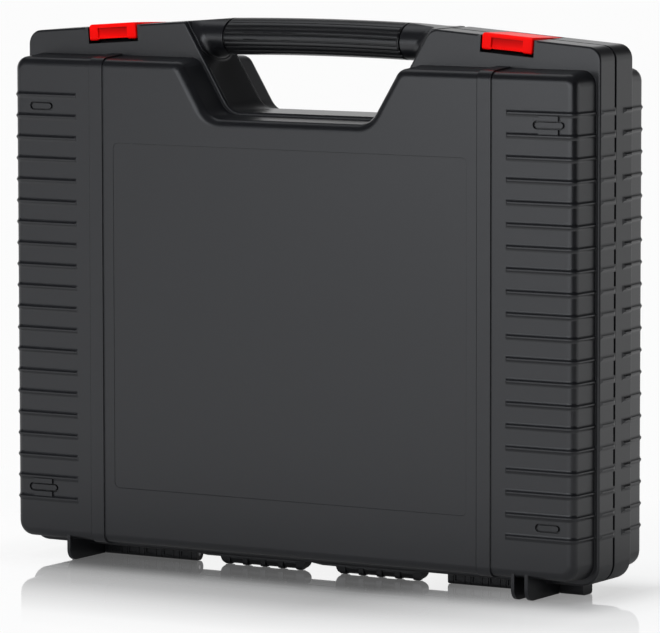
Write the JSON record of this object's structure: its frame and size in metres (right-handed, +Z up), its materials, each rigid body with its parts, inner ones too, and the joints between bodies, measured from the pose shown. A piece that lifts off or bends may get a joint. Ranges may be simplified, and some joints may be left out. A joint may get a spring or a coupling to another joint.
{
  "type": "hard tool case",
  "caption": "Slim two-shell plastic carrying case with ribbed sides, a recessed top handle, hinged feet below and red snap latches on top.",
  "frame": {"origin": "on the floor, under the middle of the case as it stands on its hinge side", "axes": "+X to the right seen from the lid, +Y from the lid to the base, +Z up towards the handle"},
  "size_m": [0.462, 0.0996, 0.3848],
  "materials": {
    "shell": "charcoal moulded polypropylene, fine satin grain",
    "grip": "charcoal moulded plastic with fine flutes",
    "plug": "charcoal moulded plastic",
    "latch": "saturated red moulded plastic, light gloss",
    "steel": "plain steel"
  },
  "bodies": {
    "base": {"base_shell": "shell", "handle_carrier": "shell", "handle_grip_front": "grip", "handle_grip_rear": "grip", "handle_screws": "steel", "latch_pin_left": "steel", "latch_pin_right": "steel", "hinge_pin_1": "steel", "hinge_pin_2": "steel", "hinge_pin_3": "steel", "hinge_pin_4": "steel", "base_plug_upper_left": "plug", "base_plug_upper_right": "plug", "base_plug_lower_left": "plug", "base_plug_lower_right": "plug"},
    "lid": {"lid_shell": "shell", "lid_plug_upper_left": "plug", "lid_plug_upper_right": "plug", "lid_plug_lower_left": "plug", "lid_plug_lower_right": "plug"},
    "latch_left": {"latch_left": "latch"},
    "latch_right": {"latch_right": "latch"}
  },
  "joints": [
    {"name": "lid_hinge", "type": "hinge", "parent": "base", "child": "lid", "pos_m": [0, 0, 0.0045], "axis": [1, 0, 0], "range_deg": [0, 180]},
    {"name": "latch_left_hinge", "type": "hinge", "parent": "base", "child": "latch_left", "pos_m": [-0.15849, 0.016, 0.37421], "axis": [-0.9973, 0, -0.0732], "range_deg": [0, 100]},
    {"name": "latch_right_hinge", "type": "hinge", "parent": "base", "child": "latch_right", "pos_m": [0.15849, 0.016, 0.37421], "axis": [-0.9973, 0, 0.0732], "range_deg": [0, 100]}
  ]
}
